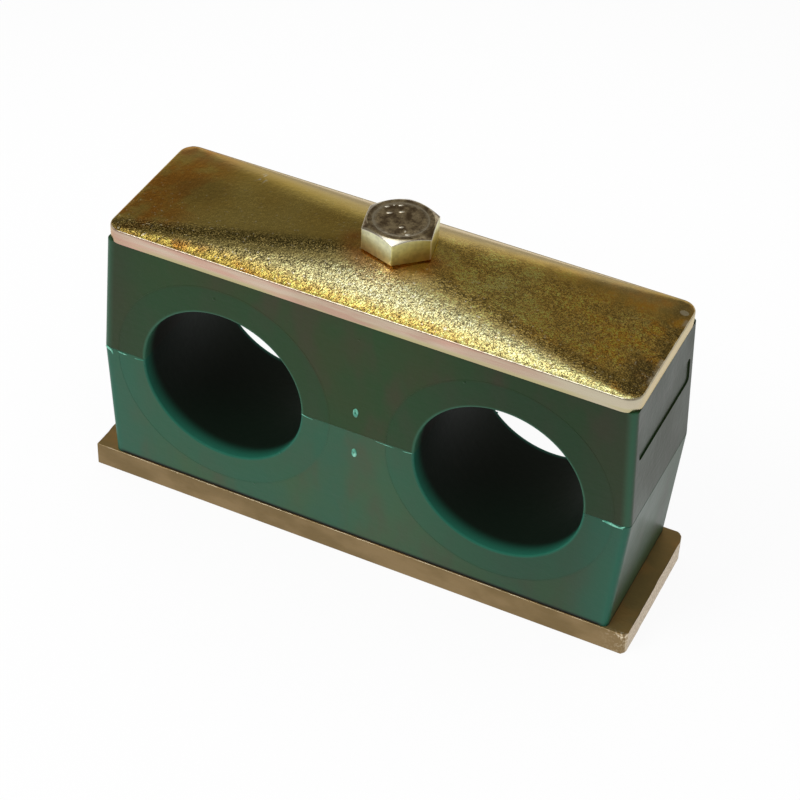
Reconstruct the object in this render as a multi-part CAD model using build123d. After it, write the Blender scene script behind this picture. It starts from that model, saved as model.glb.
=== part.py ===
"""Twin clamp for two hydraulic tubes side by side.

Two equal plastic half shells grip the tubes between them.  They stand on a flat
weld plate that carries a threaded bush, and a pressed cover plate lies on top.
One hexagon bolt goes down through the cover and both halves into the bush.

Frame: millimetres, X along the row of tubes, Y along the tubes, Z up.
The origin is the middle of the weld plate's underside.
"""
from build123d import *
import os
from math import radians, tan

os.makedirs("parts", exist_ok=True)

# tubes, and how much smaller than them the bores are all round
tube_diameter = 33.7
tube_spacing = 56.0
bore_squeeze = 0.35

# along the tubes: the halves, and how far the weld plate and the cover stand past them
body_width = 30.0
steel_overhang = 0.3

# weld plate, sheared from rolled flat bar
weld_plate_length = 112.0
weld_plate_thickness = 5.0
bar_edge_radius = 0.4
shear_lean = 0.5

# clamp half, one moulding used twice
half_height = 25.7
half_parting_length = 107.0
half_outer_length = 103.8
half_corner_radius = 1.2
parting_edge_break = 0.12
bore_lip_radius = 0.4
panel_length = 25.0
panel_height = 5.4
panel_depth = 0.3
panel_corner_radius = 1.0
panel_from_parting = 16.2

# bolt, M8 with a 13 mm head
bolt_diameter = 8.0
bolt_length = 60.0
bolt_tip_chamfer = 0.8
head_across_flats = 12.85
head_height = 5.2
head_chamfer_angle = 30.0
head_flat_share = 0.95
head_turn = 43.0

# threaded bush, pressed into the weld plate and standing up in the lower half
bush_spigot_diameter = 12.0
bush_collar_diameter = 14.0
bush_collar_height = 7.7
bush_collar_chamfer = 0.5

# cover plate, pressed up to a pad in the middle
cover_length = 103.8
cover_thickness = 3.1
cover_rise = 4.8
cover_corner_radius = 3.0
cover_edge_break = 0.4
cover_seat_margin = 1.3
pad_size = 14.0
pad_corner_radius = 5.0

# clearances
thread_clearance = 0.05
spigot_clearance = 0.02
bolt_hole_clearance = 0.5
bush_side_clearance = 0.5
bush_top_clearance = 0.5

# levels
parting_level = weld_plate_thickness + half_height
cover_level = parting_level + half_height
pad_level = cover_level + cover_thickness + cover_rise
bolt_hole_radius = bolt_diameter / 2 + bolt_hole_clearance
steel_width = body_width + 2 * steel_overhang

# how far a cutting solid runs out past the face that it opens
overrun = 1.0


def disc(radius, bottom, top):
    """Upright cylinder on the Z axis between two levels."""
    return Pos(0, 0, bottom) * extrude(Circle(radius), top - bottom)


def make_weld_plate():
    """Flat bar with rolled edges, sheared to length, with a hole for the bush."""
    section = RectangleRounded(steel_width, weld_plate_thickness, bar_edge_radius)
    bar = extrude(Plane.YZ.offset(-weld_plate_length / 2) * section, weld_plate_length)
    plate = Pos(0, 0, weld_plate_thickness / 2) * bar
    # the shear leans both ends the same way
    reach = weld_plate_length / 2
    sheared = Polygon(
        (-reach, 0),
        (reach - shear_lean, 0),
        (reach, weld_plate_thickness),
        (-reach + shear_lean, weld_plate_thickness),
        align=None,
    )
    plate &= extrude(Plane.XZ * sheared, steel_width, both=True)
    return plate - disc(bush_spigot_diameter / 2, -overrun, weld_plate_thickness + overrun)


def make_threaded_bush():
    """Turned bush: a spigot in the plate and a wider collar that rests on it."""
    spigot = disc(bush_spigot_diameter / 2 - spigot_clearance, 0, weld_plate_thickness)
    collar_top = weld_plate_thickness + bush_collar_height
    collar = disc(bush_collar_diameter / 2, weld_plate_thickness, collar_top)
    collar = chamfer(collar.edges().sort_by(Axis.Z)[-1], bush_collar_chamfer)
    thread_hole = disc(bolt_diameter / 2 + thread_clearance, -overrun, collar_top + overrun)
    return spigot + collar - thread_hole


def tube_bore_tool():
    """Solid of revolution that cuts one tube bore with rounded lips at both ends."""
    radius = tube_diameter / 2 - bore_squeeze
    end = body_width / 2
    lip_end = radius + bore_lip_radius
    with BuildPart() as tool:
        with BuildSketch(Plane.XY):
            with BuildLine():
                Line((0, -end - overrun), (lip_end, -end - overrun))
                Line((lip_end, -end - overrun), (lip_end, -end))
                RadiusArc((lip_end, -end), (radius, -end + bore_lip_radius), bore_lip_radius)
                Line((radius, -end + bore_lip_radius), (radius, end - bore_lip_radius))
                RadiusArc((radius, end - bore_lip_radius), (lip_end, end), bore_lip_radius)
                Line((lip_end, end), (lip_end, end + overrun))
                Line((lip_end, end + overrun), (0, end + overrun))
                Line((0, end + overrun), (0, -end - overrun))
            make_face()
        revolve(axis=Axis.Y)
    return tool.part


def end_panel_tool():
    """Shallow rounded field sunk in the sloping left end face of the moulding."""
    lean = (half_parting_length - half_outer_length) / 2
    height = half_height - panel_from_parting
    place = (-half_outer_length / 2 - lean * height / half_height, 0, height)
    end_face = Plane(origin=place, x_dir=(0, 1, 0), z_dir=(-half_height, 0, -lean))
    field = RectangleRounded(panel_length, panel_height, panel_corner_radius)
    return extrude(end_face * field, amount=panel_depth, both=True)


def make_clamp_half():
    """One moulding, outer face down on Z = 0 and parting face up."""
    with BuildPart() as block:
        with BuildSketch(Plane.XZ):
            with BuildLine():
                Polyline(
                    (-half_outer_length / 2, 0),
                    (half_outer_length / 2, 0),
                    (half_parting_length / 2, half_height),
                    (-half_parting_length / 2, half_height),
                    close=True,
                )
            make_face()
        extrude(amount=body_width / 2, both=True)
        upright = block.edges().filter_by(lambda edge: abs(edge.tangent_at(0).Z) > 0.5)
        fillet(upright, half_corner_radius)
        # two of these broken edges make the fine groove between the halves
        chamfer(block.faces().sort_by(Axis.Z)[-1].edges(), parting_edge_break)
    half = block.part
    for side in (-1, 1):
        half -= Pos(side * tube_spacing / 2, 0, half_height) * tube_bore_tool()
    pocket_depth = bush_collar_height + bush_top_clearance
    half -= disc(bush_collar_diameter / 2 + bush_side_clearance, -overrun, pocket_depth)
    half -= disc(bolt_hole_radius, -overrun, half_height + overrun)
    return half - end_panel_tool()


def plate_outline(inset):
    """Outline of the cover plate, drawn in by the same amount all round."""
    return RectangleRounded(
        cover_length - 2 * inset,
        steel_width - 2 * inset,
        cover_corner_radius - inset,
    )


def hip_form(foot, pad):
    """Four-sided hip from an outline at Z = 0 up to the outline of the pad."""
    return loft([foot, Pos(0, 0, cover_rise) * pad], ruled=True)


def make_cover_plate():
    """Pressed plate: an upright rim, four slopes and a flat pad with the bolt hole."""
    rim_height = cover_thickness - cover_edge_break
    shoulder = plate_outline(cover_edge_break)
    rim = extrude(plate_outline(0), rim_height)
    rim_top = Pos(0, 0, rim_height) * plate_outline(0)
    broken_edge = loft([rim_top, Pos(0, 0, cover_thickness) * shoulder], ruled=True)
    pad = RectangleRounded(pad_size, pad_size, pad_corner_radius)
    cover = rim + broken_edge + Pos(0, 0, cover_thickness) * hip_form(shoulder, pad)
    # the hollow under the slopes leaves a flat seat all round the rim
    hollow_length = cover_length - 2 * cover_seat_margin
    hollow_width = steel_width - 2 * cover_seat_margin
    cover -= hip_form(Rectangle(hollow_length, hollow_width), Rectangle(pad_size, pad_size))
    return cover - disc(bolt_hole_radius, -overrun, cover_thickness + cover_rise + overrun)


def make_hex_bolt():
    """Hexagon head bolt hanging from its seat on the pad down into the bush."""
    hexagon = RegularPolygon(head_across_flats / 2, 6, major_radius=False, rotation=head_turn)
    flat_radius = head_across_flats / 2 * head_flat_share
    cone_foot = flat_radius + head_height / tan(radians(head_chamfer_angle))
    cone = Cone(cone_foot, flat_radius, head_height, align=(Align.CENTER, Align.CENTER, Align.MAX))
    head = extrude(hexagon, head_height) & Pos(0, 0, head_height) * cone
    shank = disc(bolt_diameter / 2, -bolt_length, 0)
    shank = chamfer(shank.edges().sort_by(Axis.Z)[0], bolt_tip_chamfer)
    return Pos(0, 0, pad_level) * (head + shank)


def placed_lower_half():
    """The moulding as it stands on the weld plate, parting face up."""
    return Pos(0, 0, weld_plate_thickness) * make_clamp_half()


def placed_upper_half():
    """The same moulding turned end for end, parting face down."""
    return Pos(0, 0, cover_level) * Rot(0, 180, 0) * make_clamp_half()


parts = {
    "weld_plate": make_weld_plate(),
    "threaded_bush": make_threaded_bush(),
    "lower_clamp_half": placed_lower_half(),
    "upper_clamp_half": placed_upper_half(),
    "cover_plate": Pos(0, 0, cover_level) * make_cover_plate(),
    "hex_bolt": make_hex_bolt(),
}

for name, shape in parts.items():
    export_step(shape, f"parts/{name}.step")
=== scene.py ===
"""Looks of a twin clamp for two hydraulic tubes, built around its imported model.

The sections follow the clamp as it is put together: the weld plate, its
threaded bush, the lower and the upper half, the cover plate and the bolt.
"""
import math

import bpy
from mathutils import Matrix, Vector


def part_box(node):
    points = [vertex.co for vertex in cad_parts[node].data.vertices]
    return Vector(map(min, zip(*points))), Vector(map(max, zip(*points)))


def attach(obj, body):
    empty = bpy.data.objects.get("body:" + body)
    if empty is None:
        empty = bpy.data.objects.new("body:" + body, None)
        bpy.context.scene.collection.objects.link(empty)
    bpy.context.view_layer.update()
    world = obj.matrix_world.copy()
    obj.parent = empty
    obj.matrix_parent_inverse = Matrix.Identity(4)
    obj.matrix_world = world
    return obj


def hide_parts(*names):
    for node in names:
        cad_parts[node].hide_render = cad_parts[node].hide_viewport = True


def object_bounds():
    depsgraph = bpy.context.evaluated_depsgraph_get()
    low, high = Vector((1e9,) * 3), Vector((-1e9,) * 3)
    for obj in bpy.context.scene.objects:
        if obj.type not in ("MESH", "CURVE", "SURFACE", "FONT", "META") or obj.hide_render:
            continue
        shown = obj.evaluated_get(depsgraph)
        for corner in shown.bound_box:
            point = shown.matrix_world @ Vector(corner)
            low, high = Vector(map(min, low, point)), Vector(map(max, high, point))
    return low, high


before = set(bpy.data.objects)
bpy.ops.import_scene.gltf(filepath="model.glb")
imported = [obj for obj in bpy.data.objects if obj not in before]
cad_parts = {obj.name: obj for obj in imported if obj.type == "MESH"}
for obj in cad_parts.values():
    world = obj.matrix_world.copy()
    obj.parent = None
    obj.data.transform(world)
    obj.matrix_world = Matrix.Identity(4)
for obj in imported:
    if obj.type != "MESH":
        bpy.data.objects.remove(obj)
cad_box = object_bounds()


# Camera. A long lens looks down on the front and the right end of the clamp,
# and is turned a little about its own axis.
MM = 0.001
camera_azimuth = math.radians(23.41)
camera_elevation = math.radians(40.577)
camera_roll = math.radians(3.195)
camera_target = Vector((1.703, 0, 28.223)) * MM
camera_distance = 434.6 * MM

back = Vector((
    math.sin(camera_azimuth) * math.cos(camera_elevation),
    -math.cos(camera_azimuth) * math.cos(camera_elevation),
    math.sin(camera_elevation),
))
level_right = Vector((math.cos(camera_azimuth), math.sin(camera_azimuth), 0))
level_up = back.cross(level_right)
right = level_right * math.cos(camera_roll) + level_up * math.sin(camera_roll)
up = back.cross(right)
turn = Matrix((right, up, back)).transposed().to_4x4()

camera_data = bpy.data.cameras.new("camera")
camera_data.lens = 104.32
camera_data.sensor_width = 36
camera_data.clip_start = 0.01
camera_data.clip_end = 20
camera = bpy.data.objects.new("camera", camera_data)
camera.matrix_world = Matrix.Translation(camera_target + back * camera_distance) @ turn
bpy.context.scene.collection.objects.link(camera)
bpy.context.scene.camera = camera
bpy.context.scene.view_settings.view_transform = "Standard"


# Studio. Even soft light comes from all round. Metal sees a bright ceiling, a
# dark band of room below it and a pale horizon, and the floor is white.
def add_node(tree, kind, inputs=None, **settings):
    """Adds a shader node. An input that is a socket is linked, any other is set."""
    made = tree.nodes.new("ShaderNode" + kind)
    for name, value in settings.items():
        setattr(made, name, value)
    for key, value in (inputs or {}).items():
        if isinstance(value, bpy.types.NodeSocket):
            tree.links.new(value, made.inputs[key])
        else:
            made.inputs[key].default_value = value
    return made


def math_node(tree, operation, first, second=0.0, clamp=False):
    """Adds a Math node and returns its result."""
    return add_node(tree, "Math", {0: first, 1: second}, operation=operation, use_clamp=clamp).outputs[0]


def blend(tree, factor, low, high):
    """Mixes two colours, from low at factor 0 to high at factor 1."""
    made = add_node(tree, "Mix", data_type="RGBA")
    for key, value in ((0, factor), (6, low), (7, high)):
        if isinstance(value, bpy.types.NodeSocket):
            tree.links.new(value, made.inputs[key])
        elif key == 0:
            made.inputs[key].default_value = value
        else:
            made.inputs[key].default_value = (*value, 1)
    return made.outputs[2]


def ramp(tree, value, start, end, low=0.0, high=1.0):
    """Goes smoothly from low to high while the value goes from start to end."""
    inputs = {"Value": value, "From Min": start, "From Max": end, "To Min": low, "To Max": high}
    return add_node(tree, "MapRange", inputs, interpolation_type="SMOOTHSTEP").outputs[0]


def both(tree, first, second):
    """Multiplies two values. Of two masks it leaves what both of them cover."""
    return math_node(tree, "MULTIPLY", first, second)


world = bpy.data.worlds.new("studio")
bpy.context.scene.world = world
world.use_nodes = True
sky = world.node_tree
direction = add_node(sky, "TexCoord").outputs["Generated"]
height = add_node(sky, "SeparateXYZ", {0: direction}).outputs["Z"]
room = add_node(sky, "ValToRGB", {0: height}).color_ramp
room.interpolation = "EASE"
room.elements[0].color = (0.58, 0.56, 0.52, 1)
room.elements[-1].color = (0.55, 0.54, 0.50, 1)
for level, colour in (
    (0.28, (0.50, 0.47, 0.42)),
    (0.46, (0.125, 0.108, 0.080)),
    (0.56, (0.120, 0.104, 0.077)),
    (0.68, (0.150, 0.130, 0.096)),
    (0.78, (0.130, 0.112, 0.084)),
    (0.90, (0.42, 0.40, 0.36)),
):
    room.elements.new(level).color = (*colour, 1)
room_colour = sky.nodes["Color Ramp"].outputs[0]
# Two soft boxes: the direction of each, the angles at which its glow starts and
# is full, its strength and the most of it that is kept. The second one draws the
# bright line along the rounded edges.
box_glow = 0.0
for aim, reach, core, strength, most in (
    ((-0.16, -0.33, 0.93), 22, 6, 3.5, 1.0),
    ((-0.30, -0.68, 0.67), 14, 8, 3.2, 3.2),
):
    towards_box = add_node(
        sky, "VectorMath", {0: direction, 1: Vector(aim).normalized()}, operation="DOT_PRODUCT",
    ).outputs["Value"]
    glow = ramp(sky, towards_box, math.cos(math.radians(reach)), math.cos(math.radians(core)), 0.0, strength)
    box_glow = math_node(sky, "ADD", math_node(sky, "MINIMUM", glow, most), box_glow)
box_colour = add_node(sky, "VectorMath", {0: (1, 1, 1), "Scale": box_glow}, operation="SCALE").outputs[0]
seen_by_gloss = add_node(
    sky, "Mix", {0: 1.0, 6: room_colour, 7: box_colour}, data_type="RGBA", blend_type="ADD",
).outputs[2]
even_light = blend(sky, ramp(sky, height, 0.0, 1.0), (0.42, 0.42, 0.43), (0.98, 0.98, 0.99))
matt = add_node(sky, "LightPath").outputs["Is Diffuse Ray"]
sky.links.new(blend(sky, matt, seen_by_gloss, even_light), sky.nodes["Background"].inputs["Color"])

bpy.ops.object.select_all(action="DESELECT")
bpy.ops.mesh.primitive_plane_add(size=8, location=(0, 0, cad_box[0].z))
floor = bpy.context.object
floor.name = "floor"
paper = bpy.data.materials.new("white_paper")
paper.use_nodes = True
tree = paper.node_tree
surface = tree.nodes["Principled BSDF"]
surface.inputs["Roughness"].default_value = 0.9
rays = add_node(tree, "LightPath").outputs
spot = add_node(tree, "TexCoord").outputs["Object"]
distance = add_node(tree, "VectorMath", {0: spot}, operation="LENGTH").outputs["Value"]
farther = ramp(tree, distance, 120 * MM, 320 * MM)
tree.links.new(blend(tree, farther, (0.88, 0.88, 0.88), (0.42, 0.41, 0.39)), surface.inputs["Base Color"])
gloss_white = both(tree, rays["Is Glossy Ray"], ramp(tree, distance, 80 * MM, 200 * MM, 1.0, 0.0))
shows_white = math_node(tree, "ADD", rays["Is Camera Ray"], gloss_white)
shows_white = math_node(tree, "ADD", shows_white, rays["Is Transmission Ray"], clamp=True)
white_share = both(tree, shows_white, 0.92)
white_glow = add_node(tree, "Emission", {"Color": (1, 1, 1, 1), "Strength": 1.0})
mixed = add_node(tree, "MixShader", {0: white_share, 1: surface.outputs[0], 2: white_glow.outputs[0]})
tree.links.new(mixed.outputs[0], tree.nodes["Material Output"].inputs["Surface"])
floor.data.materials.append(paper)


def soft_box(name, place, size, power):
    """Square area lamp that faces the middle of the clamp."""
    lamp_data = bpy.data.lights.new(name, "AREA")
    lamp_data.energy = power
    lamp_data.size = size
    lamp = bpy.data.objects.new(name, lamp_data)
    lamp.location = place
    lamp.rotation_euler = (camera_target - lamp.location).to_track_quat("-Z", "Y").to_euler()
    lamp.visible_glossy = False
    bpy.context.scene.collection.objects.link(lamp)


soft_box("key_light", Vector((-0.5, -0.6, 0.9)), 0.5, 5.0)


# Weld plate. A length of rolled flat bar, sheared at both ends and given a
# brown phosphate coat, which is worn bright along the top of the front edge.
def object_space(tree):
    """Returns the piece's own coordinates, in metres in the clamp's frame."""
    return add_node(tree, "TexCoord").outputs["Object"]


def axes_of(tree, vector):
    """Splits a vector into its X, Y and Z."""
    return add_node(tree, "SeparateXYZ", {0: vector}).outputs


def facing_of(tree):
    """Splits the way that the surface faces into X, Y and Z."""
    return axes_of(tree, add_node(tree, "TexCoord").outputs["Normal"])


def span(tree, value, start, end, low=0.0, high=1.0):
    """A ramp whose start and end are in millimetres."""
    return ramp(tree, value, start * MM, end * MM, low, high)


def either(tree, first, second):
    """The higher of two values. Of two masks it leaves what either covers."""
    return math_node(tree, "MAXIMUM", first, second)


def noise(tree, place, size, detail=2.0, stretch=(1, 1, 1), roughness=0.5):
    """Noise whose lumps measure about the given size, in millimetres."""
    spread = add_node(tree, "Mapping", {"Vector": place, "Scale": tuple(k / (size * MM) for k in stretch)})
    inputs = {"Vector": spread.outputs[0], "Scale": 1.0, "Detail": detail, "Roughness": roughness}
    return add_node(tree, "TexNoise", inputs).outputs["Fac"]


def dim(tree, colour, amount):
    """Makes a colour darker or lighter by a factor."""
    return add_node(tree, "VectorMath", {0: colour, "Scale": amount}, operation="SCALE").outputs[0]


def new_material(name, metallic, roughness):
    """Returns a material's tree and its main shader."""
    made = bpy.data.materials.new(name)
    made.use_nodes = True
    surface = made.node_tree.nodes["Principled BSDF"]
    surface.inputs["Metallic"].default_value = metallic
    surface.inputs["Roughness"].default_value = roughness
    return made, made.node_tree, surface


def bump(tree, surface, height, depth):
    """Feeds a height, with a depth in millimetres, to the shader's normal."""
    inputs = {"Height": height, "Distance": depth * MM, "Strength": 1.0}
    tree.links.new(add_node(tree, "Bump", inputs).outputs[0], surface.inputs["Normal"])


def begin():
    """Leaves edit mode and deselects everything, before a piece is started."""
    if bpy.context.object and bpy.context.object.mode == "EDIT":
        bpy.ops.object.mode_set(mode="OBJECT")
    bpy.ops.object.select_all(action="DESELECT")


def edit(choose=None, kind="FACE"):
    """Goes into edit mode with only the chosen faces or edges selected."""
    piece = bpy.context.object
    bpy.ops.object.mode_set(mode="EDIT")
    bpy.ops.mesh.select_mode(type=kind)
    bpy.ops.mesh.select_all(action="DESELECT")
    bpy.ops.object.mode_set(mode="OBJECT")
    parts = piece.data.polygons if kind == "FACE" else piece.data.edges
    for part in parts:
        part.select = choose is None or choose(part)
    bpy.ops.object.mode_set(mode="EDIT")


def done():
    """Leaves edit mode with the piece's place in its mesh."""
    bpy.ops.object.mode_set(mode="OBJECT")
    bpy.ops.object.transform_apply(location=True, rotation=True, scale=True)


def new_piece(name, body, made, replaced=()):
    """Names the active object and gives it its material and its body."""
    piece = bpy.context.object
    piece.name = name
    piece.data.name = name
    piece.data.materials.clear()
    piece.data.materials.append(made)
    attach(piece, body)
    if replaced:
        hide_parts(*replaced)


def join(pieces):
    """Makes one object of several."""
    begin()
    for piece in pieces:
        piece.select_set(True)
    bpy.context.view_layer.objects.active = pieces[0]
    bpy.ops.object.join()


def apply_modifier(kind, **settings):
    """Adds a modifier to the active object and applies it."""
    piece = bpy.context.object
    modifier = piece.modifiers.new(kind.lower(), kind)
    for name, value in settings.items():
        setattr(modifier, name, value)
    bpy.ops.object.modifier_apply(modifier=modifier.name)


def edge_ends(edge):
    """The two end points of an edge of the active object."""
    return [bpy.context.object.data.vertices[k].co for k in edge.vertices]


def edge_run(edge, axis):
    """How far an edge of the active object runs along one axis."""
    first, second = edge_ends(edge)
    return abs(getattr(first, axis) - getattr(second, axis))


plate_low, plate_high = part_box("weld_plate")
bar_round = 0.4 * MM
bush_hole = 6.0 * MM
corner_setback = 0.15 * MM
raggedness = 0.16 * MM
# the waves along a torn end, in radians per metre: 7 mm and 2.7 mm long
long_wave = 900
short_wave = 2300
wave_lean = 400


def sheared_end(side, top_reach, foot_reach):
    """Cuts the bar off along a leaning plane, and makes the cut a little ragged."""
    edit()
    lean = Vector((plate_high.z - plate_low.z, 0, side * (foot_reach - top_reach)))
    bpy.ops.mesh.bisect(
        plane_co=(side * top_reach, 0, plate_high.z), plane_no=lean * side, use_fill=True, clear_outer=True,
    )
    done()
    on_cut = min(top_reach, foot_reach) - 0.01 * MM
    edit(
        lambda edge: edge_run(edge, "y") > 10 * MM and all(side * p.x > on_cut for p in edge_ends(edge)),
        "EDGE",
    )
    bpy.ops.mesh.subdivide(number_cuts=30)
    done()
    for vertex in bpy.context.object.data.vertices:
        if side * vertex.co.x > on_cut:
            wave = math.sin(vertex.co.y * long_wave)
            wave += math.sin(vertex.co.y * short_wave + vertex.co.z * wave_lean)
            vertex.co.x -= side * raggedness * (2 + wave) / 4


begin()
bpy.ops.mesh.primitive_cube_add(size=1, location=(plate_low + plate_high) / 2, scale=plate_high - plate_low)
bpy.ops.object.transform_apply(location=True, rotation=True, scale=True)
sheared_end(-1, 54.5 * MM, 55.6 * MM)
sheared_end(1, 56.0 * MM, 55.9 * MM)
edit()
for side, corner in ((1, 1.7 * MM), (-1, 1.1 * MM)):
    centre = Vector((plate_high.x - corner_setback - corner, side * (plate_high.y - corner), 0))
    for degrees in (15, 30, 45, 60, 75):
        outward = Vector((math.cos(math.radians(degrees)), side * math.sin(math.radians(degrees)), 0))
        bpy.ops.mesh.select_all(action="SELECT")
        bpy.ops.mesh.bisect(
            plane_co=centre + outward * corner, plane_no=outward, use_fill=True, clear_outer=True,
        )
done()
apply_modifier("BEVEL", width=bar_round, segments=3, limit_method="ANGLE", angle_limit=math.radians(32))
begin()
weld_bar = bpy.context.object
bpy.ops.mesh.primitive_cylinder_add(
    vertices=64, radius=bush_hole, depth=4 * plate_high.z, location=(0, 0, plate_high.z / 2),
)
hole_cutter = bpy.context.object
bpy.context.view_layer.objects.active = weld_bar
apply_modifier("BOOLEAN", object=hole_cutter, operation="DIFFERENCE", solver="EXACT")
bpy.data.objects.remove(hole_cutter)
bpy.ops.object.shade_smooth_by_angle(angle=math.radians(30))

phosphate, tree, surface = new_material("brown_phosphate", 0.85, 0.42)
place = object_space(tree)
across = axes_of(tree, place)
facing = facing_of(tree)
blotches = noise(tree, place, 6, 4, (0.6, 1, 1))
specks = noise(tree, place, 1.1, 2, (0.35, 1, 1))
crumbs = noise(tree, place, 0.5, 3)
front_coat = blend(tree, ramp(tree, blotches, 0.35, 0.65), (0.20, 0.135, 0.055), (0.27, 0.185, 0.085))
# painted light: the top faces are lighter than the front, on the same coat
lit_top_coat = blend(tree, ramp(tree, blotches, 0.38, 0.62), (0.38, 0.265, 0.105), (0.49, 0.300, 0.110))
coat_with_lit_top = blend(tree, ramp(tree, facing["Z"], 0.5, 0.9), front_coat, lit_top_coat)
on_end = ramp(tree, math_node(tree, "ABSOLUTE", facing["X"]), 0.75, 0.95)
torn = blend(tree, ramp(tree, crumbs, 0.42, 0.58), (0.42, 0.32, 0.20), (0.62, 0.51, 0.36))
coat_with_lit_top = blend(tree, on_end, coat_with_lit_top, torn)
top_edge = both(tree, ramp(tree, facing["Z"], 0.35, 0.6), ramp(tree, facing["Z"], 0.985, 0.90))
worn = both(tree, top_edge, ramp(tree, specks, 0.40, 0.62, 0.25, 1.0))
by_corner = both(tree, span(tree, across["X"], 49, 54), span(tree, across["Y"], -14.2, -15))
bright_spots = both(tree, by_corner, ramp(tree, crumbs, 0.52, 0.58))
bright_spots = both(tree, bright_spots, span(tree, across["X"], 53.5, 55, 0.35, 1.0))
bright_spots = both(tree, bright_spots, span(tree, across["Z"], 3.4, 4.6, 0.25, 1.0))
worn = either(tree, worn, bright_spots)
tree.links.new(blend(tree, worn, coat_with_lit_top, (0.78, 0.66, 0.47)), surface.inputs["Base Color"])
relief = math_node(tree, "ADD", specks, blotches)
relief = math_node(tree, "ADD", relief, both(tree, crumbs, on_end))
bump(tree, surface, relief, 0.08)
new_piece("sheared_bar", "base", phosphate, ("weld_plate",))


# Threaded bush. A turned steel bush with the M8 thread, pressed into the weld
# plate and standing up in the pocket of the lower half.
def dress(node, made):
    """Gives a CAD node its material."""
    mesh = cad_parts[node].data
    mesh.materials.clear()
    mesh.materials.append(made)


turned_steel, tree, surface = new_material("turned_steel", 1.0, 0.34)
place = object_space(tree)
turning = noise(tree, place, 0.4, 2, (0.05, 0.05, 1))
tree.links.new(blend(tree, turning, (0.30, 0.26, 0.21), (0.46, 0.42, 0.36)), surface.inputs["Base Color"])
bump(tree, surface, turning, 0.03)
dress("threaded_bush", turned_steel)


# Lower half. Injection-moulded green polypropylene with a semi-gloss skin. Its
# thin lips and edges are painted lighter and bluer, a painted glow that stands in
# for the light the plastic lets through.
tube_spacing = 56.0 * MM
bore_radius = 16.5 * MM
ring_radius = 22.4 * MM
parting_reach, half_face, parting_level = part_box("lower_clamp_half")[1]
plate_top = plate_high.z
end_inset = 1.6 * MM
half_height = 25.7 * MM
# how far the painted glow reaches: in from the front and the back of a lip, from an upright edge and from an
# end
front_lip_glow = 3.8 * MM
back_lip_glow = 1.2 * MM
edge_glow = 2.2 * MM
end_glow = 11.0 * MM

places = bpy.data.node_groups.new("Places on the halves", "ShaderNodeTree")
places.interface.new_socket("Vector", in_out="INPUT", socket_type="NodeSocketVector")
for output in ("From bore axis", "Lip", "Upright edge", "Near end"):
    places.interface.new_socket(output, in_out="OUTPUT", socket_type="NodeSocketFloat")
entry = places.nodes.new("NodeGroupInput")
result = places.nodes.new("NodeGroupOutput")
along = axes_of(places, entry.outputs[0])
across_x = math_node(places, "ABSOLUTE", along["X"])
depth_y = math_node(places, "ABSOLUTE", along["Y"])
bore_x = math_node(places, "SUBTRACT", across_x, tube_spacing / 2)
bore_z = math_node(places, "SUBTRACT", along["Z"], parting_level)
bore_x_squared = both(places, bore_x, bore_x)
bore_z_squared = both(places, bore_z, bore_z)
from_axis = math_node(places, "SQRT", math_node(places, "ADD", bore_x_squared, bore_z_squared))
near_front = ramp(places, along["Y"], front_lip_glow - half_face, -half_face)
near_back = ramp(places, along["Y"], half_face - back_lip_glow, half_face)
on_lip = ramp(places, from_axis, bore_radius + 0.7 * MM, bore_radius + 0.1 * MM)
lip = both(places, on_lip, either(places, near_front, near_back))
from_parting = math_node(places, "ABSOLUTE", bore_z)
lean_in = both(places, from_parting, end_inset / half_height)
from_end = math_node(places, "SUBTRACT", math_node(places, "SUBTRACT", parting_reach, lean_in), across_x)
at_face = ramp(places, depth_y, half_face - 1.4 * MM, half_face)
upright = both(places, ramp(places, from_end, edge_glow, 0.0), at_face)
on_face = ramp(places, depth_y, half_face - 1.0 * MM, half_face - 0.2 * MM)
near_end = both(places, ramp(places, from_end, end_glow, 0.4 * MM), on_face)
for socket, mask in zip(result.inputs, (from_axis, lip, upright, near_end)):
    places.links.new(mask, socket)


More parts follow.
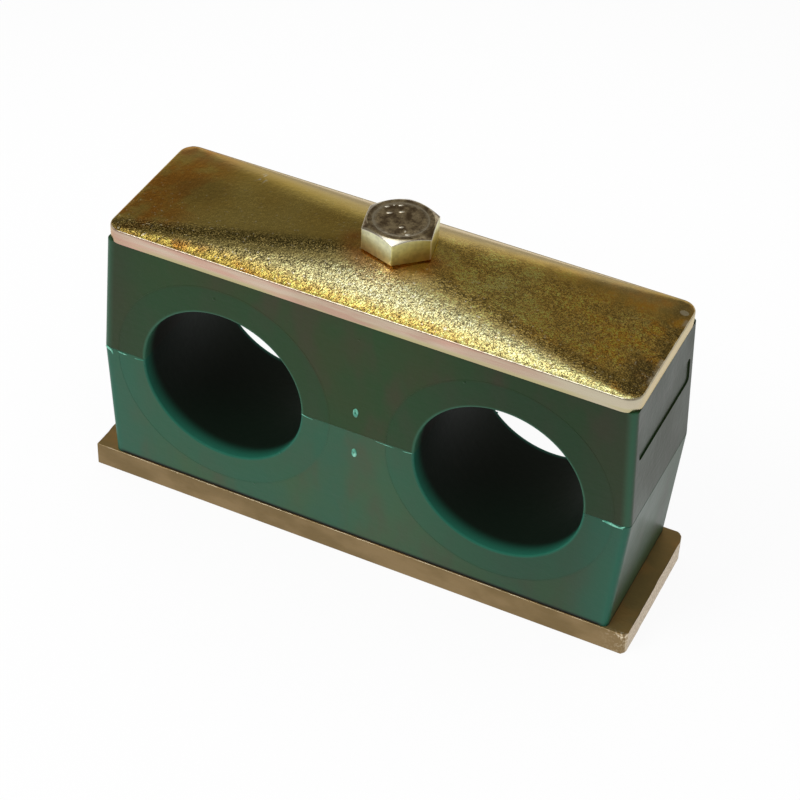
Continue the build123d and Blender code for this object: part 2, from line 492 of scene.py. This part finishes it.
def moulded_plastic(name, tones, ring_tone, end_tone, bore_painted_shade, glowing):
    """Green polypropylene as moulded: cloudy colour, fine scratches, painted glow on lips and edges, painted
    shade in the bores and at the foot.
    """
    made, tree, surface = new_material(name, 0.0, 0.36)
    surface.inputs["IOR"].default_value = 1.45
    surface.inputs["Specular IOR Level"].default_value = 0.23
    place = object_space(tree)
    across = axes_of(tree, place)
    spots = add_node(tree, "Group", {0: place}, node_tree=places).outputs
    from_bore = spots["From bore axis"]
    clouds = noise(tree, place, 16, 3, (1, 1, 0.7))
    streaks = noise(tree, place, 7, 3, (1, 1, 0.45))
    colour = blend(tree, ramp(tree, clouds, 0.35, 0.65), tones[0], tones[1])
    colour = blend(tree, ramp(tree, streaks, 0.42, 0.72), colour, tones[2])
    inside_ring = ramp(tree, from_bore, ring_radius + 0.2 * MM, ring_radius - 0.6 * MM)
    colour = blend(tree, both(tree, inside_ring, 0.6), colour, ring_tone)
    colour = dim(tree, colour, span(tree, across["X"], 4, 36, 1.0, 0.69))
    # near the ends of the faces the colour turns to the end tone, painted light that is a teal glow on the
    # lower half
    colour = blend(tree, both(tree, spots["Near end"], 0.62), colour, end_tone)
    # painted shade: the inside of the bores turns nearly black
    in_bore = ramp(tree, from_bore, bore_radius + 0.3 * MM, bore_radius)
    colour = blend(tree, in_bore, colour, bore_painted_shade)
    # painted contact shadow along the foot, just above the weld plate
    at_plate = ramp(tree, across["Z"], plate_top + 1.0 * MM, plate_top + 0.2 * MM)
    colour = blend(tree, at_plate, colour, (0.001, 0.0015, 0.001))
    # painted glow along the lips and the upright edges
    lit = either(tree, spots["Lip"], both(tree, spots["Upright edge"], 0.8))
    colour = blend(tree, lit, colour, glowing)
    tree.links.new(colour, surface.inputs["Base Color"])
    gloss = ramp(tree, clouds, 0.25, 0.75, 0.30, 0.42)
    gloss = either(tree, gloss, both(tree, in_bore, 0.62))
    tree.links.new(gloss, surface.inputs["Roughness"])
    peel = noise(tree, place, 1.3, 3)
    scratches = noise(tree, place, 0.9, 2, (0.06, 0.06, 1))
    bump(tree, surface, math_node(tree, "ADD", peel, both(tree, scratches, 0.5)), 0.05)
    return made


lower_green = moulded_plastic(
    "green_plastic_lower",
    ((0.030, 0.100, 0.055), (0.042, 0.100, 0.046), (0.056, 0.082, 0.044)),
    (0.020, 0.100, 0.056),
    (0.018, 0.110, 0.072),
    (0.0018, 0.0080, 0.0038),
    (0.012, 0.118, 0.074),
)
dress("lower_clamp_half", lower_green)


# The mould has a round insert about each bore, which leaves a fine ring, and
# pins that push the half out leave small round marks.
ring_width = 0.20 * MM
ring_height = 0.03 * MM
parting_gap = 0.15 * MM
feed_aside = 0.4 * MM


def mould_rings(above):
    """The rings on both faces of one half, above or below the parting level."""
    cut_level = parting_level + (parting_gap if above else -parting_gap)
    rings = []
    for x in (-tube_spacing / 2, tube_spacing / 2):
        for outward in (-1, 1):
            middle = (x, outward * half_face, parting_level)
            begin()
            bpy.ops.mesh.primitive_circle_add(
                vertices=144, radius=ring_radius, fill_type="NOTHING",
                location=middle, rotation=(math.radians(90), 0, 0),
            )
            bpy.ops.object.transform_apply(location=True, rotation=True, scale=True)
            edit(None, "EDGE")
            bpy.ops.mesh.extrude_edges_move()
            inner = (ring_radius - ring_width) / ring_radius
            bpy.ops.transform.resize(value=(inner, 1, inner), center_override=middle)
            bpy.ops.mesh.select_all(action="SELECT")
            bpy.ops.mesh.extrude_region_move(
                TRANSFORM_OT_translate={"value": (0, outward * ring_height, 0)}
            )
            bpy.ops.mesh.select_all(action="SELECT")
            bpy.ops.mesh.bisect(
                plane_co=(0, 0, cut_level), plane_no=(0, 0, 1),
                use_fill=True, clear_inner=above, clear_outer=not above,
            )
            bpy.ops.mesh.select_all(action="SELECT")
            bpy.ops.mesh.normals_make_consistent(inside=False)
            done()
            rings.append(bpy.context.object)
    join(rings)


def pin_marks(spots):
    """Small domes on the front and the back face, at (x, z, radius) in mm."""
    domes = []
    for x, z, radius in spots:
        for outward in (-1, 1):
            begin()
            bpy.ops.mesh.primitive_uv_sphere_add(
                segments=20, ring_count=10, radius=radius * MM,
                location=(-outward * x * MM, outward * half_face, z * MM), scale=(1, 0.3, 1),
            )
            bpy.ops.object.transform_apply(location=True, rotation=True, scale=True)
            bpy.ops.object.shade_smooth()
            domes.append(bpy.context.object)
    join(domes)


mould_rings(above=False)
new_piece("lower_mould_rings", "base", lower_green)

# thin plastic for the feed marks and the flash: its pale mint colour is a painted glow of light through the
# thin plastic
thin_green, tree, surface = new_material("thin_green_glow", 0.0, 0.22)
place = object_space(tree)
thin_clouds = noise(tree, place, 1.2, 2)
thin_glow_colour = blend(tree, ramp(tree, thin_clouds, 0.35, 0.6), (0.040, 0.260, 0.170), (0.22, 0.60, 0.44))
tree.links.new(thin_glow_colour, surface.inputs["Base Color"])
pin_marks(((-21.2, 9.3, 0.30), (-15.7, 19.4, 0.22), (45.0, 30.0, 0.20)))
new_piece("lower_pin_marks", "base", lower_green)


def feed_mark(z, body, name):
    """A torn feed point: a small upright oval of thin plastic, painted pale as a glow."""
    marks = []
    for outward in (-1, 1):
        middle = (outward * feed_aside, outward * half_face, z)
        begin()
        bpy.ops.mesh.primitive_torus_add(
            major_segments=28, minor_segments=10, major_radius=0.42 * MM, minor_radius=0.34 * MM,
            location=middle, rotation=(math.radians(90), 0, 0),
        )
        bpy.ops.transform.resize(value=(0.72, 0.5, 1.35), center_override=middle)
        bpy.ops.object.transform_apply(location=True, rotation=True, scale=True)
        bpy.ops.object.shade_smooth()
        marks.append(bpy.context.object)
    join(marks)
    new_piece(name, body, thin_green)


feed_mark(parting_level - 4.8 * MM, "base", "lower_feed_mark")

# A little plastic has leaked between the mould's halves and stands up along the
# parting line as thin slivers of flash, painted pale as a glow: runs of x, z and
# width, in mm.
flash_runs = (
    ((-53.0, 30.9, 0.5), (-52.3, 30.5, 1.2), (-51.7, 30.2, 1.0), (-51.5, 29.3, 0.2)),
    ((-50.4, 30.45, 0.2), (-49.4, 30.3, 0.8), (-48.3, 30.3, 0.1)),
    ((-46.8, 30.2, 0.1), (-45.7, 30.2, 0.55), (-44.8, 30.45, 0.2)),
    ((-11.3, 30.9, 0.4), (-10.9, 30.6, 0.5), (-9.0, 30.4, 0.1)),
    ((3.8, 30.5, 0.1), (5.6, 30.45, 0.45), (7.6, 30.4, 0.1)),
    ((9.3, 30.35, 0.1), (10.5, 30.5, 0.4), (11.2, 30.6, 0.1)),
    ((48.3, 30.5, 0.4), (49.5, 30.6, 1.5), (50.6, 30.25, 1.0), (52.2, 30.2, 0.4)),
    ((51.3, 30.1, 0.4), (52.2, 30.45, 0.9), (52.6, 30.9, 0.4)),
)
slivers = []
for run in flash_runs:
    for outward in (-1, 1):
        curve = bpy.data.curves.new("flash", "CURVE")
        curve.dimensions = "3D"
        curve.bevel_depth = 0.20 * MM
        curve.bevel_resolution = 2
        curve.resolution_u = 6
        curve.use_fill_caps = True
        line = curve.splines.new("NURBS")
        line.points.add(len(run) - 1)
        for point, (x, z, width) in zip(line.points, run):
            point.co = (-outward * x * MM, outward * half_face, z * MM, 1)
            point.radius = width
        line.order_u = 3
        line.use_endpoint_u = True
        begin()
        sliver = bpy.data.objects.new("flash", curve)
        bpy.context.scene.collection.objects.link(sliver)
        sliver.select_set(True)
        bpy.context.view_layer.objects.active = sliver
        bpy.ops.object.convert(target="MESH")
        slivers.append(bpy.context.object)
join(slivers)
bpy.ops.object.shade_smooth()
new_piece("parting_flash", "base", thin_green)


# Upper half. The same moulding turned end for end, a little darker and more
# olive than the lower one, with mould marks of its own.
upper_green = moulded_plastic(
    "green_plastic_upper",
    ((0.015, 0.050, 0.012), (0.026, 0.046, 0.012), (0.036, 0.040, 0.016)),
    (0.010, 0.050, 0.016),
    (0.022, 0.034, 0.014),
    (0.0058, 0.0064, 0.0026),
    (0.030, 0.125, 0.070),
)
dress("upper_clamp_half", upper_green)
mould_rings(above=True)
new_piece("upper_mould_rings", "upper_half", upper_green)
pin_marks(((-29.5, 50.9, 0.30), (20.2, 51.2, 0.30), (-0.3, 52.7, 0.22)))
new_piece("upper_pin_marks", "upper_half", upper_green)
feed_mark(parting_level + 4.9 * MM, "upper_half", "upper_feed_mark")


# Cover plate. Steel plate pressed up to a flat pad in the middle, with soft
# ridges, then zinc plated and passivated yellow. Its slopes have a sparkling
# grain, and its sheared rim shows through the plating in pinkish streaks.
seat_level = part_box("cover_plate")[0].z
cover_half_length, cover_half_width, cover_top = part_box("cover_plate")[1]
sheet = 3.1 * MM
rise = cover_top - seat_level - sheet
corner_radius = 3.0 * MM
pad_reach = 7.0 * MM
pad_corner = 5.0 * MM
bolt_hole = 4.5 * MM
seat_margin = 1.3 * MM
edge_round = 0.45 * MM
seat_edge_round = 0.12 * MM
ridge_softness = 4.0 * MM
pad_softness = 0.3 * MM
front_bulge = 0.15
corner_steps = 8
long_side_steps = 84
short_side_steps = 24
edge_steps = 4
pad_steps = 4
slope_steps = 34
hollow_steps = 14


def corner_loop(reach_x, reach_y, radius, level):
    """Closed outline with rounded corners. Every loop has its points in step."""
    corners = ((1, 1), (-1, 1), (-1, -1), (1, -1))
    centres = [Vector((x * (reach_x - radius), y * (reach_y - radius), level)) for x, y in corners]
    loop = []
    for corner, centre in enumerate(centres):
        for step in range(corner_steps + 1):
            angle = math.radians(90 * corner + 90 * step / corner_steps)
            offset = Vector((math.cos(angle), math.sin(angle), 0)) * radius
            loop.append(centre + offset)
        next_centre = centres[(corner + 1) % 4]
        side_steps = long_side_steps if corner % 2 == 0 else short_side_steps
        for step in range(1, side_steps):
            loop.append((centre + offset).lerp(next_centre + offset, step / side_steps))
    return loop


def softer_lower(first, second, softness):
    """The lower of two heights, rounded off where they meet."""
    near = max(softness - abs(first - second), 0) / max(softness, 1e-9)
    return min(first, second) - near * near * softness / 4


def pressed_height(x, y, reach_x, reach_y, softness):
    """Height of the pressed form above its foot."""
    up_front = max(reach_y - abs(y), 0) / (reach_y - pad_reach)
    front = rise * (up_front + front_bulge * up_front * (1 - min(up_front, 1)))
    side = max(reach_x - abs(x), 0) * rise / (reach_x - pad_reach)
    fade = softness * (1 - math.exp(-0.6 * (front + side) / softness))
    slopes = softer_lower(front, side, fade)
    return softer_lower(slopes, rise, pad_softness)


def pressed_loops(reach_x, reach_y, radius, level, count, softness):
    """Loops from the foot of the pressed form up to the edge of the bolt hole."""
    foot = corner_loop(reach_x, reach_y, radius, level)
    pad = corner_loop(pad_reach, pad_reach, pad_corner, level)
    hole = [Vector((p.x, p.y, 0)).normalized() * bolt_hole + Vector((0, 0, level)) for p in pad]
    loops = [[a.lerp(b, step / count) for a, b in zip(foot, pad)] for step in range(count)]
    for step in range(pad_steps + 1):
        loops.append([a.lerp(b, step / pad_steps) for a, b in zip(pad, hole)])
    for loop in loops:
        for point in loop:
            point.z += pressed_height(point.x, point.y, reach_x, reach_y, softness)
    return loops


def rounded_edge(reach_x, reach_y, radius, level, size, upward):
    """Loops of the quarter round between the upright rim and a flat face."""
    loops = []
    for step in range(edge_steps):
        angle = math.radians(90 * step / edge_steps)
        inset = size * (1 - math.cos(angle))
        height = level - upward * size * (1 - math.sin(angle))
        loops.append(corner_loop(reach_x - inset, reach_y - inset, radius - inset, height))
    return loops


rim_top = seat_level + sheet
slope_reach = (cover_half_length - edge_round, cover_half_width - edge_round)
loops = rounded_edge(cover_half_length, cover_half_width, corner_radius, rim_top, edge_round, 1)
loops += pressed_loops(*slope_reach, corner_radius - edge_round, rim_top, slope_steps, ridge_softness)
hollow_reach = (cover_half_length - seat_margin, cover_half_width - seat_margin)
hollow = pressed_loops(*hollow_reach, corner_radius - seat_margin, seat_level, hollow_steps, ridge_softness)
loops += reversed(hollow)
seat_edge = rounded_edge(cover_half_length, cover_half_width, corner_radius, seat_level, seat_edge_round, -1)
loops += reversed(seat_edge)
around = len(loops[0])
points = [tuple(point) for loop in loops for point in loop]
faces = [
    (
        ring * around + k,
        ring * around + (k + 1) % around,
        (ring + 1) % len(loops) * around + (k + 1) % around,
        (ring + 1) % len(loops) * around + k,
    )
    for ring in range(len(loops))
    for k in range(around)
]
begin()
cover_mesh = bpy.data.meshes.new("pressed_cover")
cover_mesh.from_pydata(points, [], faces)
cover_object = bpy.data.objects.new("pressed_cover", cover_mesh)
bpy.context.scene.collection.objects.link(cover_object)
cover_object.select_set(True)
bpy.context.view_layer.objects.active = cover_object
edit()
bpy.ops.mesh.normals_make_consistent(inside=False)
done()
bpy.ops.object.shade_smooth_by_angle(angle=math.radians(40))


def patch_at(tree, place, x, y, reach_x, reach_y):
    """A soft oval patch seen from above, at a place and with reaches in mm."""
    offset = add_node(tree, "VectorMath", {0: place, 1: (x * MM, y * MM, 0)}, operation="SUBTRACT").outputs[0]
    shares = (1 / (reach_x * MM), 1 / (reach_y * MM), 0)
    scaled = add_node(tree, "VectorMath", {0: offset, 1: shares}, operation="MULTIPLY").outputs[0]
    distance = add_node(tree, "VectorMath", {0: scaled}, operation="LENGTH").outputs["Value"]
    return ramp(tree, distance, 1.0, 0.35)


def from_bolt_axis(tree, place):
    """Distance from the bolt's axis, seen from above."""
    flat_place = add_node(tree, "VectorMath", {0: place, 1: (1, 1, 0)}, operation="MULTIPLY").outputs[0]
    return add_node(tree, "VectorMath", {0: flat_place}, operation="LENGTH").outputs["Value"]


yellow_zinc, tree, surface = new_material("yellow_zinc", 1.0, 0.24)
surface.inputs["Specular Tint"].default_value = (0.92, 0.82, 0.64, 1)
place = object_space(tree)
across = axes_of(tree, place)
facing = facing_of(tree)
on_top = ramp(tree, facing["Z"], 0.72, 0.80)
front_slope = ramp(tree, facing["Y"], -0.12, -0.42)
back_slope = ramp(tree, facing["Y"], 0.10, 0.40)
right_part = span(tree, across["X"], -2, 16)
at_foot = span(tree, across["Y"], -12, -14.6)
ridge_slope = (cover_half_width - pad_reach) / (cover_half_length - pad_reach)
out_from_pad = math_node(tree, "SUBTRACT", math_node(tree, "ABSOLUTE", across["X"]), pad_reach)
ridge_place = math_node(tree, "ADD", both(tree, out_from_pad, ridge_slope), pad_reach)
past_ridge = math_node(tree, "ADD", across["Y"], ridge_place)
behind_ridge = both(tree, span(tree, past_ridge, -1.2, 0.8), span(tree, past_ridge, 5.2, 1.6))
behind_ridge = both(tree, behind_ridge, span(tree, out_from_pad, -4, 5))
from_bolt = from_bolt_axis(tree, place)
far_left = span(tree, across["X"], 2, -30)
far_right = span(tree, across["X"], 18, 46)
patches = noise(tree, place, 18, 3)
small_patches = noise(tree, place, 4.5, 3)
clusters = noise(tree, place, 0.9, 2)
crystals = add_node(tree, "TexVoronoi", {"Vector": place, "Scale": 6400.0}, feature="F1").outputs["Color"]
crystal_tone = add_node(tree, "SeparateColor", {0: crystals}).outputs[0]

# the front slope: gold along its foot and silvery above it, duller to the left
foot_gold = blend(tree, span(tree, across["X"], 12, 30), (0.92, 0.63, 0.17), (0.90, 0.78, 0.32))
foot_gold = blend(tree, far_left, foot_gold, (0.58, 0.42, 0.095))
rusty = both(tree, far_left, ramp(tree, small_patches, 0.45, 0.65))
foot_gold = blend(tree, rusty, foot_gold, (0.46, 0.22, 0.04))
silver = blend(tree, far_left, (0.80, 0.72, 0.37), (0.46, 0.39, 0.16))
front_tone = blend(tree, at_foot, silver, foot_gold)
# the long slopes: olive to the left and gold to the right, with warm patches
# towards both ends, a painted dark reflection just behind the front ridges, and
# the left slope painted lighter towards the back
left_tone = blend(tree, ramp(tree, patches, 0.35, 0.65), (0.60, 0.44, 0.11), (0.66, 0.54, 0.17))
rusty = both(tree, span(tree, across["X"], -34, -46), ramp(tree, small_patches, 0.35, 0.6))
left_tone = blend(tree, rusty, left_tone, (0.60, 0.29, 0.05))
left_tone = dim(tree, left_tone, ramp(tree, behind_ridge, 0.0, 1.0, 1.0, 0.40))
left_tone = dim(tree, left_tone, span(tree, across["Y"], 2, 10, 1.0, 1.28))
right_tone = blend(tree, ramp(tree, patches, 0.35, 0.65), (0.90, 0.62, 0.155), (0.94, 0.74, 0.23))
warm = both(tree, far_right, ramp(tree, small_patches, 0.38, 0.62))
right_tone = blend(tree, warm, right_tone, (0.86, 0.45, 0.07))
dark_rim = both(tree, span(tree, across["X"], 46, 50.5), ramp(tree, small_patches, 0.62, 0.40))
right_tone = blend(tree, both(tree, dark_rim, 0.6), right_tone, (0.20, 0.14, 0.05))
right_tone = dim(tree, right_tone, ramp(tree, behind_ridge, 0.0, 1.0, 1.0, 0.58))
right_tone = dim(tree, right_tone, ramp(tree, small_patches, 0.36, 0.64, 0.80, 1.30))
long_tone = blend(tree, right_part, left_tone, right_tone)
blotch = both(tree, patch_at(tree, place, -41, 1.5, 8, 6), 0.34)
long_tone = blend(tree, blotch, long_tone, (0.26, 0.20, 0.07))
smear = both(tree, patch_at(tree, place, 49.3, -8.0, 4.5, 6), ramp(tree, small_patches, 0.30, 0.55, 0.3, 0.8))
long_tone = blend(tree, smear, long_tone, (0.20, 0.16, 0.07))
# a copper tint with painted shade in a ring round the front of the bolt's head
copper_shade_ring = both(tree, span(tree, from_bolt, 12.5, 7.4), span(tree, across["Y"], 2, -3))
patchy_copper_shade = both(tree, copper_shade_ring, ramp(tree, small_patches, 0.30, 0.60, 0.45, 1.0))
long_tone = blend(tree, patchy_copper_shade, long_tone, (0.58, 0.25, 0.06))
front_tone = blend(tree, both(tree, copper_shade_ring, 0.6), front_tone, (0.70, 0.40, 0.16))
colour = blend(tree, front_slope, long_tone, front_tone)
back_band = either(tree, back_slope, span(tree, across["Y"], 8.5, 12.5, 0.0, 0.7))
back_band = both(tree, back_band, span(tree, across["X"], 50, 36, 0.25, 1.0))
back_band = both(tree, back_band, span(tree, across["X"], -46, -22, 0.35, 1.0))
colour = blend(tree, back_band, colour, (0.74, 0.62, 0.37))

# sparkle, painted glints: each crystal of zinc is painted lighter or darker than the next, and the brightest
# turn gold
sparkling = either(tree, front_slope, both(tree, right_part, 0.75))
sparkling = either(tree, sparkling, both(tree, behind_ridge, 0.95))
sparkling = either(tree, sparkling, 0.16)
sparkling = both(tree, sparkling, span(tree, across["Y"], 3.5, 10, 1.0, 0.12))
crystal_glint = ramp(tree, crystal_tone, 0.08, 0.92, 0.20, 1.60)
cluster_glint = ramp(tree, clusters, 0.30, 0.70, 0.62, 1.38)
glint = both(tree, crystal_glint, cluster_glint)
swing = both(tree, math_node(tree, "SUBTRACT", glint, 0.95), sparkling)
colour = dim(tree, colour, math_node(tree, "ADD", swing, 1.0))
golden = either(tree, both(tree, right_part, 0.5), behind_ridge)
golden = both(tree, golden, ramp(tree, crystal_tone, 0.72, 0.97))
colour = blend(tree, both(tree, golden, ramp(tree, back_slope, 0.6, 0.0)), colour, (0.98, 0.78, 0.30))

# scuffs that have cut through the yellow
scratch_lines = ramp(tree, noise(tree, place, 0.7, 1, (1, 0.3, 1)), 0.56, 0.62)
scratch = both(tree, patch_at(tree, place, -32.4, 9.2, 1.6, 2.6), scratch_lines)
bare_spots = ramp(tree, noise(tree, place, 0.6, 2), 0.66, 0.72)
bare_spots = both(tree, bare_spots, ramp(tree, back_slope, 0.5, 0.0))
bare_spots = both(tree, bare_spots, span(tree, across["Y"], 6, -10, 0.25, 0.9))
edge_scuffs = both(tree, span(tree, across["X"], 50.8, 51.4), ramp(tree, small_patches, 0.50, 0.58))
scuffs = either(tree, either(tree, scratch, bare_spots), both(tree, edge_scuffs, 0.8))
scuffs = either(tree, scuffs, ramp(tree, patch_at(tree, place, 50.3, 11.3, 1.1, 0.9), 0.2, 0.4))
colour = blend(tree, scuffs, colour, (0.96, 0.90, 0.70))

# the rim: rose and cream streaks, and a painted highlight line along its top edge
streaks = noise(tree, place, 3, 4, (0.22, 1, 2.4))
long_waves = noise(tree, place, 20, 2)
low_on_rim = ramp(tree, across["Z"], seat_level + 1.3 * MM, seat_level + 0.3 * MM)
rose = blend(tree, ramp(tree, streaks, 0.36, 0.64), (0.50, 0.31, 0.235), (0.56, 0.44, 0.33))
lavender = blend(tree, ramp(tree, streaks, 0.36, 0.64), (0.62, 0.37, 0.29), (0.64, 0.50, 0.39))
rim_tone = blend(tree, ramp(tree, long_waves, 0.40, 0.60), rose, lavender)
rim_tone = blend(tree, span(tree, across["X"], 24, 46, 0.10, 0.75), rim_tone, (0.57, 0.55, 0.40))
rim_tone = blend(tree, both(tree, low_on_rim, ramp(tree, streaks, 0.30, 0.55)), rim_tone, (0.50, 0.44, 0.24))
top_edge_highlight = ramp(tree, across["Z"], rim_top - 0.30 * MM, rim_top - 0.12 * MM)
top_edge_highlight = both(tree, top_edge_highlight, ramp(tree, facing["Z"], 0.85, 0.70))
top_edge_highlight = both(tree, top_edge_highlight, ramp(tree, clusters, 0.35, 0.60, 0.35, 1.0))
rim_tone = blend(tree, top_edge_highlight, rim_tone, (0.98, 0.93, 0.76))
colour = blend(tree, on_top, rim_tone, colour)
tree.links.new(colour, surface.inputs["Base Color"])
relief = both(tree, noise(tree, place, 0.4, 3), both(tree, sparkling, on_top))
relief = math_node(tree, "ADD", relief, both(tree, clusters, 0.25))
bump(tree, surface, relief, 0.12)
new_piece("pressed_cover", "cover", yellow_zinc, ("cover_plate",))


# Bolt. An M8 hexagon bolt, forged, with a thread rolled on its end. The head
# has a 30 degree chamfer and a dished top, and it is plated pale green-yellow.
head_foot = cover_top
head_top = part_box("hex_bolt")[1].z
bolt_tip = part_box("hex_bolt")[0].z
across_flats = 12.75 * MM
head_turn = math.radians(13.0)
shank_radius = 4.0 * MM
thread_pitch = 1.25 * MM
thread_depth = 0.767 * MM
thread_length = 22 * MM
washer_face = 0.25 * MM
flats_foot = head_foot + washer_face
flats_height = head_top - flats_foot
face_radius = across_flats / 2 * 0.95
begin()
bpy.ops.mesh.primitive_cone_add(
    vertices=96,
    radius1=face_radius + flats_height / math.tan(math.radians(30)),
    radius2=face_radius,
    depth=flats_height,
    location=(0, 0, flats_foot + flats_height / 2),
)
bpy.ops.object.transform_apply(location=True, rotation=True, scale=True)
# the forged face sinks to a shallow dish inside a narrow flat ring
for share, drop in ((0.13, 0.0), (0.07, 0.07), (0.30, 0.05)):
    edit(lambda face: face.normal.z > 0.99 and len(face.vertices) == 96)
    bpy.ops.mesh.inset(thickness=share * face_radius, depth=-drop * MM)
    done()
chamfer_cone = bpy.context.object
begin()
bpy.ops.mesh.primitive_cylinder_add(
    vertices=6,
    radius=across_flats / math.sqrt(3),
    depth=flats_height,
    location=(0, 0, flats_foot + flats_height / 2),
    rotation=(0, 0, head_turn),
)
bpy.ops.object.transform_apply(location=True, rotation=True, scale=True)
edit(lambda edge: edge_run(edge, "z") > flats_height / 2, "EDGE")
bpy.ops.mesh.bevel(offset=0.16 * MM, segments=3, affect="EDGES")
done()
apply_modifier("BOOLEAN", object=chamfer_cone, operation="INTERSECT", solver="EXACT")
bpy.data.objects.remove(chamfer_cone)
apply_modifier("BEVEL", width=0.09 * MM, segments=2, limit_method="ANGLE", angle_limit=math.radians(20))
bpy.ops.object.shade_smooth_by_angle(angle=math.radians(35))

hex_head = bpy.context.object
begin()
bpy.ops.mesh.primitive_cylinder_add(
    vertices=96, radius=face_radius, depth=2 * washer_face, location=(0, 0, head_foot + washer_face),
)
washer = bpy.context.object
# plain raised dashes stand in for whatever a maker forges into the face
dashes = []
for x, y, run in (
    (-3.9, 2.4, 0.75), (-1.9, 3.9, 0.75), (-3.0, 3.4, 0.30), (-2.7, 0.9, 0.80),
    (-0.9, 2.2, 0.75), (1.0, -2.0, 0.70), (2.1, -2.8, 0.25), (2.9, -3.5, 0.70),
):
    begin()
    bpy.ops.mesh.primitive_uv_sphere_add(
        segments=20, ring_count=12, location=(x * MM, y * MM, head_top - 0.26 * MM),
        rotation=(0, 0, math.radians(29)), scale=(run * MM, 0.36 * MM, 0.26 * MM),
    )
    bpy.ops.object.transform_apply(location=True, rotation=True, scale=True)
    dashes.append(bpy.context.object)
join([hex_head, washer] + dashes)
bpy.ops.object.shade_smooth_by_angle(angle=math.radians(35))

bolt_zinc, tree, surface = new_material("bolt_zinc", 1.0, 0.24)
place = object_space(tree)
across = axes_of(tree, place)
facing = facing_of(tree)
grain = noise(tree, place, 0.9, 3)
stains = noise(tree, place, 1.7, 5, roughness=0.7)
from_middle = from_bolt_axis(tree, place)
on_top = ramp(tree, facing["Z"], 0.93, 0.985)
above_flats = ramp(tree, across["Z"], head_top - 0.5 * MM, head_top - 0.4 * MM)
within_face = ramp(tree, from_middle, face_radius, face_radius - 0.1 * MM)
on_face = either(tree, on_top, both(tree, above_flats, within_face))
on_chamfer = both(tree, ramp(tree, facing["Z"], 0.25, 0.6), ramp(tree, facing["Z"], 0.97, 0.92))
# painted light: the flats facing left are lighter and greyer than those facing right
flats = blend(tree, ramp(tree, facing["X"], -0.25, 0.15), (0.88, 0.88, 0.60), (0.72, 0.66, 0.28))
flats = dim(tree, flats, ramp(tree, grain, 0.3, 0.7, 0.90, 1.10))
tops = blend(tree, ramp(tree, stains, 0.36, 0.64), (0.27, 0.20, 0.125), (0.86, 0.74, 0.52))
ring = both(tree, span(tree, from_middle, 4.2, 4.9), span(tree, from_middle, 5.6, 5))
ring = both(tree, ring, ramp(tree, grain, 0.40, 0.60, 0.3, 1.0))
ring = both(tree, ring, span(tree, across["X"], 2, -5, 0.35, 1.0))
tops = blend(tree, ring, tops, (0.86, 0.80, 0.66))
# painted glint: the tops of the raised dashes are pale
marks = ramp(tree, across["Z"], head_top - 0.09 * MM, head_top - 0.04 * MM)
marks = both(tree, marks, span(tree, from_middle, 5.2, 5))
tops = blend(tree, marks, tops, (0.92, 0.88, 0.76))
# painted highlight: the chamfer turns near white where it faces the front
chamfer_tone = blend(tree, ramp(tree, facing["Y"], -0.38, -0.45), tops, (0.96, 0.93, 0.80))
colour = blend(tree, on_chamfer, flats, chamfer_tone)
corner_reach = across_flats / math.sqrt(3)
# painted highlights: a light line along the head's rounded edges and down its front right corner
edge_line = both(tree, ramp(tree, facing["Z"], 0.12, 0.35), ramp(tree, facing["Z"], 0.82, 0.74))
corner_highlight = ramp(tree, from_middle, corner_reach - 0.16 * MM, corner_reach - 0.09 * MM)
corner_highlight = both(tree, corner_highlight, span(tree, across["X"], 3.5, 5.5))
edge_line = either(tree, edge_line, corner_highlight)
colour = blend(tree, edge_line, colour, (1.0, 0.97, 0.82))
colour = blend(tree, on_face, colour, tops)
tree.links.new(colour, surface.inputs["Base Color"])
tree.links.new(ramp(tree, facing["Z"], 0.1, 0.3, 0.36, 0.24), surface.inputs["Roughness"])
bump(tree, surface, both(tree, grain, ramp(tree, facing["Z"], 0.9, 0.99, 0.10, 0.9)), 0.08)
new_piece("bolt_head", "bolt", bolt_zinc, ("hex_bolt",))

begin()
shank_foot = bolt_tip + thread_length - thread_pitch
bpy.ops.mesh.primitive_cylinder_add(
    vertices=64,
    radius=shank_radius,
    depth=head_foot - shank_foot,
    location=(0, 0, (head_foot + shank_foot) / 2),
)
bpy.ops.object.transform_apply(location=True, rotation=True, scale=True)
apply_modifier("BEVEL", width=0.3 * MM, segments=2, limit_method="ANGLE", angle_limit=math.radians(60))
bpy.ops.object.shade_smooth_by_angle(angle=math.radians(40))
new_piece("bolt_shank", "bolt", bolt_zinc)

begin()
thread_mesh = bpy.data.meshes.new("bolt_thread")
root = shank_radius - thread_depth
crest = shank_radius - 0.02 * MM
thread_start = bolt_tip - 2 * thread_pitch
# one turn's profile: radius, and place along the bolt as a share of the pitch
tooth = [(root, 0), (root, 0.25), (crest, 0.5625), (crest, 0.6875), (root, 1.0)]
thread_mesh.from_pydata(
    [(radius, 0, thread_start + share * thread_pitch) for radius, share in tooth],
    [(k, k + 1) for k in range(len(tooth) - 1)],
    [],
)
thread = bpy.data.objects.new("bolt_thread", thread_mesh)
bpy.context.scene.collection.objects.link(thread)
thread.select_set(True)
bpy.context.view_layer.objects.active = thread
turns = round(thread_length / thread_pitch) + 3
apply_modifier(
    "SCREW", axis="Z", screw_offset=thread_pitch, iterations=turns, steps=40, render_steps=40,
    use_merge_vertices=True, merge_threshold=0.005 * MM, use_normal_calculate=True,
)
for level, keep_above in ((bolt_tip, True), (shank_foot + thread_pitch, False)):
    edit()
    bpy.ops.mesh.bisect(
        plane_co=(0, 0, level), plane_no=(0, 0, 1), use_fill=True,
        clear_inner=keep_above, clear_outer=not keep_above,
    )
    done()
edit()
bpy.ops.mesh.normals_make_consistent(inside=False)
done()
bpy.ops.object.shade_smooth_by_angle(angle=math.radians(35))
new_piece("bolt_thread", "bolt", bolt_zinc)
